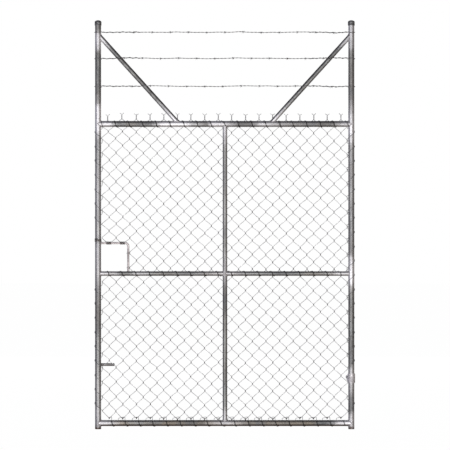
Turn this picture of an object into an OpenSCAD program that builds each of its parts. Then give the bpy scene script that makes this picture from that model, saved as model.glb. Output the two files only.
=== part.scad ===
// Chain-link security gate leaf with a barbed-wire top, hung on two post pintles.
// The leaf is drawn in its own coordinates: x = 0 and y = 0 on the hinge stile's axis, z = 0 at the
// stile's foot, and the leaf reaches to -X. in_leaf() carries it to the frame of the whole part, whose
// origin is on the lower pintle's shank axis, at the face of the post.

/* [Leaf] */
// Distance between the axes of the two stiles
stile_spacing = 1405; // [1200:5:1600]
// Length of a stile, from its open foot to the tube end inside the cap
stile_length = 2258; // [2200:1:2400]
// Height of the bottom rail's axis above the stile's foot
bottom_rail_z = 33; // [25:1:40]
// Height of the middle rail's axis
mid_rail_z = 862.5; // [845:0.5:870]
// Height of the top rail's axis
top_rail_z = 1692.5; // [1685:0.5:1705]
// Height at which the braces meet the stiles
brace_top_z = 2189; // [2100:1:2200]
// Distance from a stile's axis to where its brace meets the top rail
brace_reach = 449; // [350:1:550]
// Distance from the hinge stile's axis to the mullions' axis
mullion_reach = 701; // [700:0.5:708]

/* [Tubes] */
// Outside diameter of the stiles and of the top and bottom rails
heavy_tube_d = 33.7; // [32:0.1:35]
// Wall of the heavy tube
heavy_wall = 3.2; // [2:0.1:4]
// Outside diameter of the middle rail, mullions and braces
light_tube_d = 25.4; // [24:0.1:28]
// Wall of the light tube
light_wall = 2.5; // [1.6:0.1:3.2]
// Outside diameter of a stile cap
cap_d = 38; // [37:0.1:40]
// Height of a stile cap
cap_h = 29; // [26:1:34]

/* [Chain-link fabric] */
// Diamonds across the leaf
diamonds_across = 18; // [16:1:20]
// Diamonds from the bottom knuckles to the twisted top selvedge
diamonds_up = 21; // [21:1:21]
// Height of the bottom knuckles
fabric_foot_z = 63.4; // [60:0.1:66]
// Height of one diamond
diamond_h = 79.25; // [79:0.05:79.5]
// Distance from a stile's axis to the edge of the fabric
fabric_inset = 21; // [20:0.5:24]
// Diameter of the fabric's wire
fabric_wire_d = 3.1; // [2.5:0.1:3.2]
// Height of a twisted barb above the last diamond
twist_h = 20; // [15:1:25]

/* [Lacing and barbed wire] */
// Diameter of the lacing wire
lacing_wire_d = 3; // [2:0.1:3.2]
// Heights of the barbed strands, top to bottom
strand_z = [2200, 2056, 1901];
// Distance from the latch stile's axis to the first barb on each strand
first_barb = [201, 146, 190];
// Barbs on a strand
barb_count = 12; // [8:1:12]
// Distance between barbs
barb_pitch = 100.5; // [90:0.5:102]
// Diameter over the two twisted wires of a strand
strand_d = 4.8; // [4:0.1:5]

/* [Hand hole] */
// Diameter of the bent rod round the hand hole
hole_rod_d = 12; // [10:0.5:12]
// Distance from the latch stile's axis to the rod's upright leg
hole_w = 167; // [160:1:170]
// Height of the rod's level leg
hole_top_z = 1032; // [1020:1:1040]
// Radius of the rod's bend, on its centre line
hole_bend_r = 17; // [14:1:24]

/* [Hinges] */
// Diameter of the hinge pins and of the shanks that go into the post
pin_d = 16; // [14:1:16]
// Radial clearance between a pin and its eye
pin_play = 0.1; // [0.05:0.01:0.1]
// Height of a hinge eye
eye_h = 51; // [45:1:55]
// Outside diameter of a hinge eye
eye_d = 29; // [28:0.5:29]
// Distance from the stile's axis back to the hinge axis
hinge_offset = 36; // [36:0.5:40]
// Distance from the hinge axis back to the face of the post
post_standoff = 30; // [28:1:40]
// Length of a shank beyond the face of the post
shank_length = 80; // [60:5:120]
// Height of the lower shank's axis above the stile's foot
lower_shank_z = 245; // [240:1:250]
// Height of the bottom of the upper hinge eye above the stile's foot
upper_eye_z = 1770; // [1765:1:1775]

/* [Drop bolt] */
// Diameter of the drop bolt
bolt_d = 16; // [12:1:16]
// Height of the bolt's handle with the bolt raised
handle_z = 355; // [350:1:365]
// Reach of the handle from the latch stile's axis
handle_reach = 90; // [70:1:110]
// Height of the bolt's lower end with the bolt raised
bolt_foot_z = 12; // [5:1:20]
// Distance from the latch stile's axis back to the bolt's axis
bolt_offset = 38; // [38:0.5:42]

/* [Hidden] */
$fn = 48;

heavy_r = heavy_tube_d / 2;
light_r = light_tube_d / 2;
joint_gap = 0.1;                        // between a coped tube end and the tube that it is welded to
latch_x = -stile_spacing;
shoulder_h = 12;                        // from a shank's axis to the shoulder that the eye turns on
thrust_gap = 0.3;                       // between that shoulder and the eye
lower_eye_z = lower_shank_z + shoulder_h + thrust_gap;
upper_shank_z = upper_eye_z + eye_h + thrust_gap + shoulder_h;

// Fabric: half columns are counted from the hinge stile, half rows from the bottom knuckles
half_w = (stile_spacing - 2 * fabric_inset) / (2 * diamonds_across);
half_h = diamond_h / 2;
half_rows = 2 * diamonds_up;
pickets = 2 * diamonds_across;
layer_gap = 0.75;                       // between the heavy tubes and the fabric
layer_pitch = fabric_wire_d + 0.15;     // from one picket's layer to the next one's
front_layer_y = heavy_r + layer_gap;
cut_pickets = ceil((hole_w - fabric_inset) / half_w);
barb_splay = [14, 8];                   // how far a twisted tip reaches sideways and up
mid_cut_z = mid_rail_z + 3;

// Lacing: each turn is drawn with straight steps, so its radius keeps the middle of a step off the tube
lace_steps = 12;
stile_lace_steps = 16;                  // finer, to clear a stile where the wire leaves it for the fabric
lace_sides = 4;
hook_r = 6.5;                           // bend of the lacing where it hooks the fabric
hook_y = 20.5;
wire_gap = 0.15;                        // between a wound wire and the tube under it
function wound_r(tube_r, wire_d, steps) = (tube_r + wire_d / 2) / cos(180 / steps) + wire_gap;
heavy_lace_r = wound_r(heavy_r, lacing_wire_d, lace_steps);
light_lace_r = wound_r(light_r, lacing_wire_d, lace_steps);

steel_grey = [0.47, 0.47, 0.46];
dark_grey = [0.34, 0.34, 0.34];
wire_grey = [0.66, 0.66, 0.67];
rusty_grey = [0.50, 0.46, 0.45];
zinc_white = [0.78, 0.77, 0.80];

function column_x(c) = -(fabric_inset + half_w * c);
function row_z(h) = fabric_foot_z + half_h * h;

module in_leaf() translate([0, -hinge_offset - post_standoff, -lower_shank_z]) children();

module at_hinge_axis(z) translate([0, -post_standoff, z - lower_shank_z]) children();

// A closed round wire with its axis along Z
module wire_loop(r, d) rotate_extrude($fn = 32) translate([r, 0]) circle(d = d, $fn = 16);

// ---- swept wires ----

function unit(v) = v / norm(v);
function direction(path, i) = unit(path[min(i + 1, len(path) - 1)] - path[max(i - 1, 0)]);
function wire_ring(path, i, r, sides, lead) =
    let (t = direction(path, i), u = unit(cross(t, lead)), w = cross(t, u))
    [for (s = [0 : sides - 1]) path[i] + r * (cos(360 * s / sides) * u + sin(360 * s / sides) * w)];

// A wire along a path that never runs along lead
module swept_wire(path, d, sides, lead) {
    last = len(path) - 1;
    points = [for (i = [0 : last]) each wire_ring(path, i, d / 2, sides, lead)];
    walls = [
        for (i = [0 : last - 1], s = [0 : sides - 1])
            let (a = i * sides + s, b = i * sides + (s + 1) % sides)
            each [[a, a + sides, b + sides], [a, b + sides, b]]
    ];
    foot = [for (s = [0 : sides - 1]) s];
    head = [for (s = [sides - 1 : -1 : 0]) last * sides + s];
    polyhedron(points, concat(walls, [foot, head]));
}

// The point furthest towards angle a on a belt drawn round circles [[y, z], r]
function reach(circle, a) = circle[0] * [cos(a), sin(a)] + circle[1];
function furthest(circles, a, i = 0, best = 0) =
    i == len(circles) ? best
    : furthest(circles, a, i + 1, reach(circles[i], a) > reach(circles[best], a) ? i : best);
function belt_point(circles, a) =
    let (c = circles[furthest(circles, a)]) c[0] + c[1] * [cos(a), sin(a)];

// ---- post side ----

flange_d = 22;                          // the shoulder that stands against the post
flange_t = 8;
neck_d = 19;
boss_d = 23;
pin_past_eye = 8;
pin_point = [3, 5];                     // length of the pin's tapered end, and what it takes off the diameter

// A pintle: shank into the post, flange against its face, and a pin that points up (side 1) or down (-1)
module pintle(side) {
    straight = shoulder_h + thrust_gap + eye_h + pin_past_eye - pin_point[0];
    rotate([-90, 0, 0]) cylinder(d = pin_d, h = shank_length);
    translate([0, -flange_t, 0]) rotate([-90, 0, 0]) cylinder(d = flange_d, h = flange_t);
    translate([0, -post_standoff, 0]) {
        rotate([-90, 0, 0]) cylinder(d = neck_d, h = post_standoff - flange_t / 2);
        cylinder(d = boss_d, h = 2 * shoulder_h, center = true);
        mirror([0, 0, (1 - side) / 2]) {
            cylinder(d = pin_d, h = straight);
            translate([0, 0, straight]) cylinder(d1 = pin_d, d2 = pin_d - pin_point[1], h = pin_point[0]);
        }
    }
}

module lower_pintle() color(dark_grey) pintle(1);
module upper_pintle() color(dark_grey) translate([0, 0, upper_shank_z - lower_shank_z]) pintle(-1);

// ---- tubes ----

module upright_tube(x, z, d, wall, length) translate([x, 0, z]) difference() {
    cylinder(d = d, h = length);
    translate([0, 0, -1]) cylinder(d = d - 2 * wall, h = length + 2);
}

module level_tube(z, d, wall) translate([latch_x, 0, z]) rotate([0, 90, 0]) difference() {
    cylinder(d = d, h = stile_spacing);
    translate([0, 0, -1]) cylinder(d = d - 2 * wall, h = stile_spacing + 2);
}

module stile_cope() {
    for (x = [0, latch_x]) translate([x, 0, -1]) cylinder(r = heavy_r + joint_gap, h = stile_length + 2);
}

module rail_cope(z, r) {
    translate([latch_x, 0, z]) rotate([0, 90, 0]) cylinder(r = r + joint_gap, h = stile_spacing);
}

module stile(x) color(steel_grey) in_leaf() upright_tube(x, 0, heavy_tube_d, heavy_wall, stile_length);

module hinge_stile() stile(0);
module latch_stile() stile(latch_x);

module rail(z, d, wall) color(steel_grey) in_leaf() difference() {
    level_tube(z, d, wall);
    stile_cope();
}

module top_rail() rail(top_rail_z, heavy_tube_d, heavy_wall);
module mid_rail() rail(mid_rail_z, light_tube_d, light_wall);
module bottom_rail() rail(bottom_rail_z, heavy_tube_d, heavy_wall);

module upper_mullion() color(steel_grey) in_leaf() difference() {
    upright_tube(-mullion_reach, mid_rail_z, light_tube_d, light_wall, top_rail_z - mid_rail_z);
    rail_cope(mid_rail_z, light_r);
    rail_cope(top_rail_z, heavy_r);
}

module lower_mullion() color(steel_grey) in_leaf() difference() {
    upright_tube(-mullion_reach, bottom_rail_z, light_tube_d, light_wall, mid_rail_z - bottom_rail_z);
    rail_cope(bottom_rail_z, heavy_r);
    rail_cope(mid_rail_z, light_r);
}

// A brace from the hinge stile down to the top rail, open at both coped ends
module brace() {
    drop = brace_top_z - top_rail_z;
    length = norm([brace_reach, drop]);
    difference() {
        translate([0, 0, brace_top_z]) rotate([0, -90 - atan2(drop, brace_reach), 0]) difference() {
            cylinder(d = light_tube_d, h = length);
            translate([0, 0, -1]) cylinder(d = light_tube_d - 2 * light_wall, h = length + 2);
        }
        translate([0, 0, 1]) cylinder(r = heavy_r + joint_gap, h = stile_length);
        rail_cope(top_rail_z, heavy_r);
    }
}

module hinge_side_brace() color(steel_grey) in_leaf() brace();
module latch_side_brace() color(steel_grey) in_leaf() translate([latch_x, 0, 0]) mirror([1, 0, 0]) brace();

// A pressed cap: a skirt round the tube end and a low dome over it
module stile_cap(x) color(dark_grey) in_leaf() {
    dome_h = 10;
    shell = 2;
    bore_r = heavy_r + 0.05;
    skirt_z = stile_length + dome_h - cap_h;
    outer = [for (a = [0 : 15 : 90]) [cap_d / 2 * cos(a), cap_h - dome_h + dome_h * sin(a)]];
    inner = [for (a = [90 : -15 : 0]) [bore_r * cos(a), cap_h - dome_h + (dome_h - shell) * sin(a)]];
    translate([x, 0, skirt_z]) rotate_extrude()
        polygon(concat([[cap_d / 2, 0]], outer, inner, [[bore_r, 0]]));
}

module hinge_stile_cap() stile_cap(0);
module latch_stile_cap() stile_cap(latch_x);

// ---- hinges ----

band_wall = 4;
band_r = heavy_r + 0.05;
web_t = 18;                             // of the block between the band and the eye
lug_t = 14;                             // of the upper eye's lug
ear_angle = 148;                        // from +X, towards the back of the hinge stile
ear_slot = 2.4;
ear_t = 3.5;
ear_bolt_at = [25.6, 31];               // from the stile's axis, and above the bottom of the band
ear_outline = [[18, 4], [21, 4], [31, 24], [31, 37], [24, 44], [18, 44]];
ear_bolt_d = 6;
ear_bolt_hole_d = 6.4;
hex_d = 11.5;                           // across the corners of the ear bolt's head and nut
head_t = 4;
nut_t = 5;
seat = ear_slot / 2 + ear_t + 0.1;      // from the middle of the slot to the head and to the nut
bolt_end = seat + nut_t + 1;

module eye_bore(h) translate([0, hinge_offset, -1]) cylinder(r = pin_d / 2 + pin_play, h = h + 2);

// The lower hinge: a strap clamped round the stile, with the pin's eye behind and two bolted ears
module lower_hinge_band() color(zinc_white) in_leaf() translate([0, 0, lower_eye_z]) difference() {
    union() {
        cylinder(r = band_r + band_wall, h = eye_h);
        translate([0, hinge_offset, 0]) cylinder(d = eye_d, h = eye_h);
        translate([-web_t / 2, 0, 0]) cube([web_t, hinge_offset, eye_h]);
        rotate([0, 0, ear_angle]) translate([0, ear_slot / 2 + ear_t, 0]) rotate([90, 0, 0])
            linear_extrude(height = ear_slot + 2 * ear_t) polygon(ear_outline);
    }
    translate([0, 0, -1]) cylinder(r = band_r, h = eye_h + 2);
    eye_bore(eye_h);
    rotate([0, 0, ear_angle]) translate([0, -ear_slot / 2, -1]) cube([eye_h, ear_slot, eye_h + 2]);
    rotate([0, 0, ear_angle]) translate([ear_bolt_at[0], seat, ear_bolt_at[1]]) rotate([90, 0, 0])
        cylinder(d = ear_bolt_hole_d, h = 2 * seat);
}

module at_ear_bolt() in_leaf() translate([0, 0, lower_eye_z]) rotate([0, 0, ear_angle])
    translate([ear_bolt_at[0], 0, ear_bolt_at[1]]) rotate([-90, 0, 0]) children();

module hinge_band_bolt() color(zinc_white) at_ear_bolt() {
    translate([0, 0, -bolt_end]) cylinder(d = ear_bolt_d, h = bolt_end + seat + 1);
    translate([0, 0, seat]) rotate(30) cylinder(d = hex_d, h = head_t, $fn = 6);
}

module hinge_band_nut() color(zinc_white) at_ear_bolt() translate([0, 0, -seat - nut_t]) difference() {
    rotate(30) cylinder(d = hex_d, h = nut_t, $fn = 6);
    translate([0, 0, -1]) cylinder(d = ear_bolt_d + 0.1, h = nut_t + 2);
}

// The upper hinge: an eye on a short lug welded to the back of the stile
module upper_hinge_eye() color(zinc_white) in_leaf() translate([0, 0, upper_eye_z]) difference() {
    union() {
        translate([0, hinge_offset, 0]) cylinder(d = eye_d, h = eye_h);
        translate([-lug_t / 2, 0, 0]) cube([lug_t, hinge_offset, eye_h]);
    }
    translate([0, 0, -1]) cylinder(r = heavy_r + joint_gap, h = eye_h + 2);
    eye_bore(eye_h);
}

// ---- hand hole ----

hole_rod_y = 6;                         // the rod stands just in front of the fabric

module hand_hole_frame() color(rusty_grey) in_leaf() difference() {
    union() {
        translate([latch_x, hole_rod_y, hole_top_z]) rotate([0, 90, 0])
            cylinder(d = hole_rod_d, h = hole_w - hole_bend_r);
        translate([latch_x + hole_w - hole_bend_r, hole_rod_y, hole_top_z - hole_bend_r]) rotate([90, 0, 0])
            rotate_extrude(angle = 90) translate([hole_bend_r, 0]) circle(d = hole_rod_d, $fn = 32);
        translate([latch_x + hole_w, hole_rod_y, mid_rail_z])
            cylinder(d = hole_rod_d, h = hole_top_z - hole_bend_r - mid_rail_z);
    }
    stile_cope();
    rail_cope(mid_rail_z, light_r);
}

tie_wire_d = 3;
tie_loop_r = hole_rod_d / 2 + tie_wire_d / 2 + 0.2;
tie_pitch = 4.6;

// Cut wires of the fabric wound round the rod: a close row of turns at each twisted column, and single
// turns where a diamond meets the upright leg
module hand_hole_ties() color(dark_grey) in_leaf() {
    for (c = [1, 3], i = [-2.5 : 2.5])
        translate([latch_x - column_x(c) + i * tie_pitch, hole_rod_y, hole_top_z])
            rotate([0, 90, 0]) wire_loop(tie_loop_r, tie_wire_d);
    for (h = [21, 23], i = [-0.5 : 0.5])
        translate([latch_x + hole_w, hole_rod_y, row_z(h) + i * tie_pitch]) wire_loop(tie_loop_r, tie_wire_d);
}

// A few close turns of wire round the latch stile, just above the hand hole
module stile_tie_wraps() color(dark_grey) in_leaf() for (i = [0 : 3])
    translate([latch_x, 0, hole_top_z + 9 + i * tie_pitch])
        wire_loop(heavy_r + tie_wire_d / 2 + 0.2, tie_wire_d);

// ---- chain-link fabric ----

// The bent line of picket p from half row h0 to h1: it swings between half columns p and p + 1, and its
// even half rows lie on the odd column
function picket_column(p, h) = (p + h) % 2 == 0 ? p + 1 : p;
function picket_line(p, h0, h1) = [for (h = [h0 : h1]) [column_x(picket_column(p, h)), row_z(h)]];
function twist_line(p) =
    let (x = column_x(picket_column(p, half_rows)), z = row_z(half_rows), way = p % 2 == 0 ? 1 : -1)
    [[x, z + twist_h], [x + way * barb_splay[0], z + twist_h + barb_splay[1]]];

// One bent wire, drawn as a flat strip as wide and as deep as the wire
module picket(p, line) {
    side = fabric_wire_d / 2 * norm([half_w, half_h]) / half_h;
    outline = concat(
        [for (q = line) q + [side, 0]],
        [for (i = [len(line) - 1 : -1 : 0]) line[i] - [side, 0]]
    );
    translate([0, front_layer_y + (p % 2) * layer_pitch + fabric_wire_d, 0]) rotate([90, 0, 0])
        linear_extrude(height = fabric_wire_d) polygon(outline);
}

module fabric_main() color(wire_grey) in_leaf() for (p = [0 : pickets - cut_pickets - 1])
    picket(p, concat(picket_line(p, 0, half_rows), twist_line(p)));

module fabric_above_hand_hole() color(wire_grey) in_leaf() for (p = [pickets - cut_pickets : pickets - 1])
    intersection() {
        first_row = floor((hole_top_z - fabric_foot_z) / half_h);
        picket(p, concat(picket_line(p, first_row, half_rows), twist_line(p)));
        translate([latch_x, 0, hole_top_z]) cube([stile_spacing, 50, stile_length]);
    }

module fabric_below_hand_hole() color(wire_grey) in_leaf() for (p = [pickets - cut_pickets : pickets - 1])
    intersection() {
        picket(p, picket_line(p, 0, ceil((mid_cut_z - fabric_foot_z) / half_h)));
        translate([latch_x, 0, 0]) cube([stile_spacing, 50, mid_cut_z]);
    }

// ---- lacing ----

// A turn that would pass over the rail at the foot of a brace is pushed aside, to clear the foot
push_x = column_x(10) - half_w / 2;
push = 11;
function pushed(x) = x + push * max(0, 1 - abs(x - push_x) / half_w);

// One wire wound along a rail, a turn a diamond; top_x is a column where a turn passes over the top
module rail_lacing(z, circles, top_x, turns, past_brace = false) color(wire_grey) in_leaf() {
    path = [
        for (i = [0 : turns * lace_steps])
            let (q = belt_point(circles, 90 + 360 * i / lace_steps), x = top_x + 2 * half_w * i / lace_steps)
            [past_brace ? pushed(x) : x, q[0], z + q[1]]
    ];
    swept_wire(path, lacing_wire_d, lace_sides, [1, 0, 0]);
}

rail_turns = diamonds_across - 1;
heavy_belt = [[[0, 0], heavy_lace_r], [[hook_y, 6], hook_r], [[hook_y, -6], hook_r]];
light_belt = [[[0, 0], light_lace_r], [[hook_y, 6], hook_r], [[hook_y, -6], hook_r]];
foot_belt = [[[0, 0], heavy_lace_r], [[hook_y, 38], hook_r]];

// On the top rail a turn crosses the front at an even column, on the middle rail at an odd one, and on the
// bottom rail it passes over the knuckle at an odd one
even_x = column_x(pickets - 2) - half_w / 2;
odd_x = column_x(pickets - 1) - half_w / 2;
module top_rail_lacing() rail_lacing(top_rail_z, heavy_belt, even_x, rail_turns, true);
module mid_rail_lacing() rail_lacing(mid_rail_z, light_belt, odd_x, rail_turns);
module bottom_rail_lacing() rail_lacing(bottom_rail_z, foot_belt, column_x(pickets - 1), rail_turns);

// One wire wound up a stile; inner is the way to the leaf's middle, and a turn hooks the fabric at each odd
// half row from h0 to h1
module stile_lacing(x, inner, h0, h1) {
    belt = [[[0, 0], heavy_lace_r], [[28, hook_y], hook_r]];
    path = [
        for (i = [0 : (h1 - h0) / 2 * stile_lace_steps])
            let (q = belt_point(belt, -360 * i / stile_lace_steps))
            [x + inner * q[0], q[1], row_z(h0) + diamond_h * i / stile_lace_steps]
    ];
    swept_wire(path, lacing_wire_d, lace_sides, [0, 0, 1]);
}

module hinge_stile_lacing() color(wire_grey) in_leaf() {
    stile_lacing(0, -1, 1, 3);
    stile_lacing(0, -1, 7, 41);
}

module latch_stile_lacing() color(wire_grey) in_leaf() {
    stile_lacing(latch_x, 1, 1, 19);
    stile_lacing(latch_x, 1, 27, 41);
}

// ---- barbed wire ----

wrap_turns = 0.75;                      // each end of a strand passes once behind its stile
wrap_steps = 12;
strand_sides = 6;
strand_y = -wound_r(heavy_r, strand_d, wrap_steps);

// A strand in front of the leaf, with both ends wound round the stiles; the turns step up (way 1) or
// down (way -1)
module strand(z, way) {
    step = way * (strand_d + 0.4);
    n = wrap_turns * wrap_steps;
    function wrap(i) = let (a = 360 * i / wrap_steps)
        [-sin(a) * strand_y, cos(a) * strand_y, step * i / wrap_steps];
    hinge_end = [for (i = [0 : n]) wrap(i) + [0, 0, z]];
    latch_end = [for (i = [n : -1 : 0]) let (q = wrap(i)) [latch_x - q[0], q[1], z + q[2]]];
    swept_wire(concat(latch_end, hinge_end), strand_d, strand_sides, [0, 0, 1]);
}

barb_wire_d = 2;
barb_length = 26;
barb_ring_r = strand_d / 2 + 0.2;
barb_ring_l = 8;
barb_tilt = 30;                         // of each spike from upright
lean_steps = [-14, 6, 18, -4, 11];      // the barbs don't all stand alike

// One barb: two turns of wire round the strand, drawn as a ring, with sharp ends that cross at an angle
module barb(lean) {
    rotate([0, 90, 0]) difference() {
        cylinder(r = barb_ring_r + barb_wire_d - 0.2, h = barb_ring_l, center = true);
        cylinder(r = barb_ring_r, h = barb_ring_l + 1, center = true);
    }
    for (side = [-1, 1]) translate([side * 0.3 * barb_ring_l, side * (barb_ring_r + barb_wire_d / 2), 0])
        rotate([0, side * barb_tilt + lean, 0]) cylinder(d = barb_wire_d, h = barb_length, center = true);
}

module barbs(i) for (k = [0 : barb_count - 1])
    translate([latch_x + first_barb[i] + k * barb_pitch, strand_y, strand_z[i]])
        barb(lean_steps[(k + i) % len(lean_steps)]);

// The top strand winds upwards, clear of the braces
module top_strand() color(dark_grey) in_leaf() strand(strand_z[0], 1);
module middle_strand() color(dark_grey) in_leaf() strand(strand_z[1], -1);
module bottom_strand() color(dark_grey) in_leaf() strand(strand_z[2], -1);
module top_barbs() color(dark_grey) in_leaf() barbs(0);
module middle_barbs() color(dark_grey) in_leaf() barbs(1);
module bottom_barbs() color(dark_grey) in_leaf() barbs(2);

// ---- drop bolt ----

guide_h = 38;
guide_wall = 4;
guide_lug_t = 10;
bolt_bend_r = 22;
bolt_point = 6;                         // taper at the foot: its length and what it takes off the diameter
handle_point = 4;
// Both guides lie between the lacing's turns, and the upper one stays under the bend of the dropped bolt
lower_guide_z = row_z(1) - guide_h - 5;
upper_guide_z = row_z(3) + 1;

// A guide: a short tube on a lug welded to the back of the latch stile
module bolt_guide(z) color(steel_grey) in_leaf() translate([latch_x, 0, z]) difference() {
    union() {
        translate([0, bolt_offset, 0]) cylinder(d = bolt_d + 2 * guide_wall, h = guide_h);
        translate([-guide_lug_t / 2, 0, 0]) cube([guide_lug_t, bolt_offset, guide_h]);
    }
    translate([0, 0, -1]) cylinder(r = heavy_r + joint_gap, h = guide_h + 2);
    translate([0, bolt_offset, -1]) cylinder(r = bolt_d / 2 + pin_play, h = guide_h + 2);
}

module lower_bolt_guide() bolt_guide(lower_guide_z);
module upper_bolt_guide() bolt_guide(upper_guide_z);

// The bolt: an upright bar behind the stile, bent over at the top into a level handle
module drop_bolt() color(rusty_grey) in_leaf() translate([latch_x, bolt_offset, 0]) {
    straight_z = bolt_foot_z + bolt_point;
    translate([0, 0, bolt_foot_z]) cylinder(d1 = bolt_d - bolt_point, d2 = bolt_d, h = bolt_point);
    translate([0, 0, straight_z]) cylinder(d = bolt_d, h = handle_z - bolt_bend_r - straight_z);
    translate([bolt_bend_r, 0, handle_z - bolt_bend_r]) rotate([90, 0, 0]) rotate([0, 0, 90])
        rotate_extrude(angle = 90) translate([bolt_bend_r, 0]) circle(d = bolt_d);
    translate([bolt_bend_r, 0, handle_z]) rotate([0, 90, 0])
        cylinder(d = bolt_d, h = handle_reach - bolt_bend_r - handle_point);
    translate([handle_reach - handle_point, 0, handle_z]) rotate([0, 90, 0])
        cylinder(d1 = bolt_d, d2 = bolt_d - bolt_point, h = handle_point);
}

lower_pintle();
upper_pintle();
hinge_stile();
latch_stile();
top_rail();
mid_rail();
bottom_rail();
upper_mullion();
lower_mullion();
hinge_side_brace();
latch_side_brace();
hinge_stile_cap();
latch_stile_cap();
lower_hinge_band();
hinge_band_bolt();
hinge_band_nut();
upper_hinge_eye();
hand_hole_frame();
hand_hole_ties();
stile_tie_wraps();
fabric_main();
fabric_above_hand_hole();
fabric_below_hand_hole();
top_rail_lacing();
mid_rail_lacing();
bottom_rail_lacing();
hinge_stile_lacing();
latch_stile_lacing();
top_strand();
middle_strand();
bottom_strand();
top_barbs();
middle_barbs();
bottom_barbs();
upper_bolt_guide();
lower_bolt_guide();
drop_bolt();
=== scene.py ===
"""A chain-link security gate leaf: woven wire, lacing, barbed strands, welds, finishes, light and camera."""
import math
import random

import bmesh
import bpy
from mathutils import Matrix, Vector, noise


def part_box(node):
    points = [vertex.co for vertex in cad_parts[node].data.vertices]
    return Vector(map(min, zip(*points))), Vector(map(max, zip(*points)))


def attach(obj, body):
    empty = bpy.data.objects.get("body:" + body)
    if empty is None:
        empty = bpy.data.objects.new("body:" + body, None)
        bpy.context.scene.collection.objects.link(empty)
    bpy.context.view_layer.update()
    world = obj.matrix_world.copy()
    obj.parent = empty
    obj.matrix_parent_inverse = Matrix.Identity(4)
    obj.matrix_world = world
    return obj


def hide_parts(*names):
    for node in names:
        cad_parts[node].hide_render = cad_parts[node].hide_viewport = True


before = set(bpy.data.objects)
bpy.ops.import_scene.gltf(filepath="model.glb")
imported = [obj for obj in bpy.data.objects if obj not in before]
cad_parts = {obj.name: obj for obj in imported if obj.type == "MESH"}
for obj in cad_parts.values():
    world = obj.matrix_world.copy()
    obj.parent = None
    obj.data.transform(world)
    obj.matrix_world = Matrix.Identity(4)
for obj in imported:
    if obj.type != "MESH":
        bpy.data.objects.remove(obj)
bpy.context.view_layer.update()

MM = 0.001

# ---- the leaf's places, from the frame; leaf coordinates run from the foot of the hinge stile's axis ----


def size(node, axis):
    """A node's size along one axis."""
    low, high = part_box(node)
    return (high - low)[axis]


def middle(node):
    """The middle of a node's box."""
    low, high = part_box(node)
    return (low + high) / 2


HINGE = Vector((middle("hinge_stile").x, middle("hinge_stile").y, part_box("hinge_stile")[0].z))
LATCH_X = middle("latch_stile").x - HINGE.x
CENTRE_X = LATCH_X / 2
MULLION_X = middle("upper_mullion").x - HINGE.x
HEAVY_R = size("hinge_stile", 0) / 2
LIGHT_R = size("upper_mullion", 0) / 2
TOP_RAIL_Z = middle("top_rail").z - HINGE.z
MID_RAIL_Z = middle("mid_rail").z - HINGE.z
BOTTOM_RAIL_Z = middle("bottom_rail").z - HINGE.z
FABRIC_LOW, FABRIC_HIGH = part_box("fabric_main")


def place(x, y, z):
    """A point of the leaf, in the row frame."""
    return HINGE + Vector((x, y, z))


BRACE_JOINT_Z = 2189 * MM               # where the braces meet the stiles' axes
BRACE_REACH = 449 * MM                  # from a stile's axis to where its brace meets the top rail's axis


def brace_ends(side):
    """Where a brace's axis meets the stile's and the top rail's; side 1 is the hinge side."""
    stile_x = 0 if side > 0 else LATCH_X
    return place(stile_x, 0, BRACE_JOINT_Z), place(stile_x - side * BRACE_REACH, 0, TOP_RAIL_Z)


# ---- fabric ----

COLUMNS = 36                            # half diamonds across, each one a wire
ROWS = 42                               # half diamonds up
INSET = 21 * MM                         # from a stile's axis to the nearest column
TWIST_H = 20 * MM                       # the twisted stretch at the top of each wire
SPLAY = (14 * MM, 8 * MM)               # how far the sharp tips reach sideways and up
FABRIC_WIRE_R = 1.55 * MM
WEAVE_DEPTH = 1.7 * MM                  # from the middle of the fabric to each of its layers
HOOK = 1.6 * MM                         # how far a bend reaches past its column
BEND = 1.6 * MM                         # how round a bend is
CUT_WIRES = 4                           # wires that stop at the hand hole
HALF_W = (-LATCH_X - 2 * INSET) / COLUMNS
FABRIC_Y = (FABRIC_LOW.y + FABRIC_HIGH.y) / 2 - HINGE.y
FABRIC_FOOT = FABRIC_LOW.z - HINGE.z
HALF_H = (FABRIC_HIGH.z - HINGE.z - FABRIC_FOOT - TWIST_H - SPLAY[1]) / ROWS


def column_x(c):
    """How far along the leaf an even half column lies."""
    return -(INSET + HALF_W * c)


def row_z(h):
    """How high an even half row lies."""
    return FABRIC_FOOT + HALF_H * h


# ---- wires ----


def circle_points(centre, radius, first, second, sides):
    """Points round a circle in the plane of two directions."""
    turns = [2 * math.pi * s / sides for s in range(sides)]
    return [centre + radius * (math.cos(t) * first + math.sin(t) * second) for t in turns]


def sweep(mesh, path, radius, sides=8, tips=(1, 1), grime_and_shade=None):
    """Adds a round wire to the mesh; tips scale the radius at its two ends, and the painted shade, if given,
    runs from 0 to 1 along it.
    """
    last = len(path) - 1
    layer = None
    if grime_and_shade:
        layer = mesh.verts.layers.float.get("grime_and_shade") or mesh.verts.layers.float.new("grime_and_shade")
    normal = None
    before = None
    for i, point in enumerate(path):
        along = (path[min(i + 1, last)] - path[max(i - 1, 0)]).normalized()
        normal = along.orthogonal() if normal is None else normal - along * normal.dot(along)
        normal.normalize()
        across = along.cross(normal)
        r = radius(i) if callable(radius) else radius
        r *= tips[0] if i == 0 else tips[1] if i == last else 1
        ring = [mesh.verts.new(corner) for corner in circle_points(point, r, normal, across, sides)]
        if layer:
            for corner in ring:
                corner[layer] = grime_and_shade[i]
        if before:
            for s in range(sides):
                mesh.faces.new((before[s], before[(s + 1) % sides], ring[(s + 1) % sides], ring[s]))
        else:
            mesh.faces.new(ring[::-1])
        before = ring
    mesh.faces.new(before)


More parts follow.
